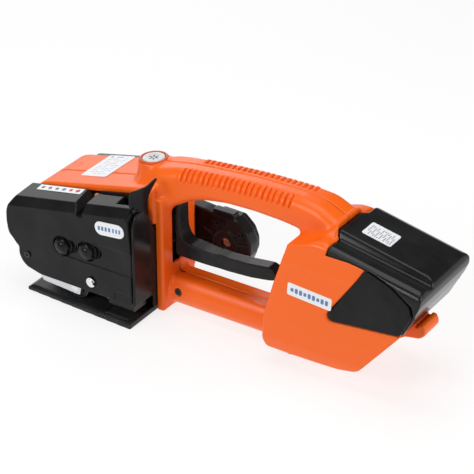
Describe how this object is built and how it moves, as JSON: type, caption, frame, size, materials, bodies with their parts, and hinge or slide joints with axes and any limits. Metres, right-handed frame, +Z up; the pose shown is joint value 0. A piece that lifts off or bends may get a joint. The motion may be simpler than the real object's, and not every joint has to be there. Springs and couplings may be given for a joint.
{
  "type": "battery strapping tool",
  "caption": "Hand-held battery strapping tool: head with sole, tension wheel and friction welder, hollow handle with lever and button, slide-in battery.",
  "frame": {"origin": "on the underside of the sole plate, at the middle of its length, in the plane where the two housing halves meet", "axes": "+X from the head to the battery, -Y to the side where the strap enters, +Z up"},
  "size_m": [0.3544, 0.1064, 0.1308],
  "materials": {
    "sole_steel": "black oxide, worn",
    "tool_steel": "ground",
    "bright_steel": "polished",
    "cast_black": "black cast",
    "rocker_alloy": "satin",
    "bronze": "satin",
    "gloss_black": "gloss",
    "satin_black": "satin",
    "orange_shell": "fine grain",
    "motor_can": "plated",
    "windings": "lacquered",
    "belt_rubber": "matte",
    "button_grey": "satin",
    "panel_film": "satin",
    "label_white": "satin",
    "board_green": "lacquered",
    "cell_jacket": "satin"
  },
  "bodies": {
    "frame": {"base_plate": "sole_steel", "tension_anvil": "tool_steel", "lower_tooth_plate": "tool_steel", "head_frame": "cast_black", "cover_posts": "cast_black", "cutter_guide": "cast_black", "rear_flange": "gloss_black", "front_cover": "gloss_black", "cover_nuts": "gloss_black", "cover_screw": "bright_steel", "side_screw": "bright_steel", "strap_guard": "sole_steel", "rocker_pin": "bright_steel", "rocker_clip": "bright_steel", "drive_gearbox": "rocker_alloy", "tension_motor": "motor_can", "eccentric_bearings": "bronze", "drive_belt": "belt_rubber", "weld_motor_stator": "windings", "drive_case": "satin_black", "drive_case_screws": "bright_steel", "housing_left": "orange_shell", "housing_right": "orange_shell", "housing_screws": "bright_steel", "button_bezel": "orange_shell", "button_switch": "satin_black", "button_spring": "bright_steel", "lever_pin": "bright_steel", "lever_spring": "bright_steel", "control_panel": "panel_film", "control_board": "board_green", "terminal_block": "satin_black", "battery_tray": "satin_black", "latch_pin": "bright_steel", "latch_spring": "bright_steel", "rear_feet": "belt_rubber", "head_label": "label_white", "symbol_strip": "label_white", "side_label": "label_white"},
    "rocker": {"rocker_arm": "rocker_alloy", "wheel_bearings": "bronze"},
    "tension_wheel": {"tension_wheel": "tool_steel", "wheel_shaft": "bright_steel", "wheel_gear": "tool_steel"},
    "drive_gear": {"drive_gear": "tool_steel"},
    "motor_armature": {"motor_shaft": "bright_steel"},
    "weld_gripper": {"weld_gripper": "tool_steel"},
    "eccentric": {"eccentric_shaft": "bright_steel", "eccentric_pulley": "rocker_alloy"},
    "weld_rotor": {"weld_motor_rotor": "motor_can", "motor_pulley": "rocker_alloy"},
    "cutter": {"cutter_blade": "bright_steel"},
    "button": {"push_button": "button_grey"},
    "lever": {"operating_lever": "satin_black"},
    "battery": {"battery_shell": "satin_black", "battery_cells": "cell_jacket", "battery_connector": "satin_black", "battery_label": "label_white"},
    "latch": {"battery_latch": "orange_shell"}
  },
  "joints": [
    {"name": "lever_hinge", "type": "hinge", "parent": "frame", "child": "lever", "pos_m": [0.0465, 0, 0.071], "axis": [0, -1, 0], "range_deg": [0, 18], "stiffness_Nm_per_rad": 0.4, "springref_deg": -17.19},
    {"name": "rocker_hinge", "type": "hinge", "parent": "frame", "child": "rocker", "pos_m": [0.011, -0.038, 0.028], "axis": [0, 1, 0], "range_deg": [0, 12]},
    {"name": "drive_gear_spin", "type": "hinge", "parent": "rocker", "child": "drive_gear", "pos_m": [0.011, -0.038, 0.028], "axis": [0, 1, 0], "continuous": true},
    {"name": "wheel_spin", "type": "hinge", "parent": "rocker", "child": "tension_wheel", "pos_m": [-0.0079, -0.038, 0.01525], "axis": [0, 1, 0], "continuous": true},
    {"name": "tension_motor_spin", "type": "hinge", "parent": "frame", "child": "motor_armature", "pos_m": [0.09, 0, 0.0165], "axis": [1, 0, 0], "continuous": true},
    {"name": "eccentric_spin", "type": "hinge", "parent": "frame", "child": "eccentric", "pos_m": [0.036, 0, 0.038], "axis": [0, 1, 0], "continuous": true},
    {"name": "weld_motor_spin", "type": "hinge", "parent": "frame", "child": "weld_rotor", "pos_m": [0.077, 0.04, 0.041], "axis": [0, 1, 0], "continuous": true},
    {"name": "gripper_slide", "type": "slide", "parent": "frame", "child": "weld_gripper", "axis": [1, 0, 0], "range_m": [-0.001, 0.001], "stiffness_N_per_m": 400},
    {"name": "cutter_slide", "type": "slide", "parent": "frame", "child": "cutter", "axis": [0, 0, -1], "range_m": [0, 0.0025], "stiffness_N_per_m": 300, "springref_m": -0.002},
    {"name": "button_press", "type": "slide", "parent": "frame", "child": "button", "axis": [0.0872, 0, -0.9962], "range_m": [0, 0.002], "stiffness_N_per_m": 400, "springref_m": -0.001, "deforming": ["button_spring"]},
    {"name": "battery_slide", "type": "slide", "parent": "frame", "child": "battery", "axis": [0.9781, 0, -0.2079], "range_m": [0, 0.08]},
    {"name": "latch_hinge", "type": "hinge", "parent": "frame", "child": "latch", "pos_m": [0.255, 0, 0.0446], "axis": [0, 1, 0], "range_deg": [0, 9], "stiffness_Nm_per_rad": 0.15, "springref_deg": -11.46}
  ],
  "couplings": [
    {"joint": "rocker_hinge", "follows": "lever_hinge", "ratio": 0.66667},
    {"joint": "wheel_spin", "follows": "drive_gear_spin", "ratio": -1.85},
    {"joint": "tension_motor_spin", "follows": "drive_gear_spin", "ratio": 12},
    {"joint": "weld_motor_spin", "follows": "eccentric_spin", "ratio": 1.6667}
  ]
}
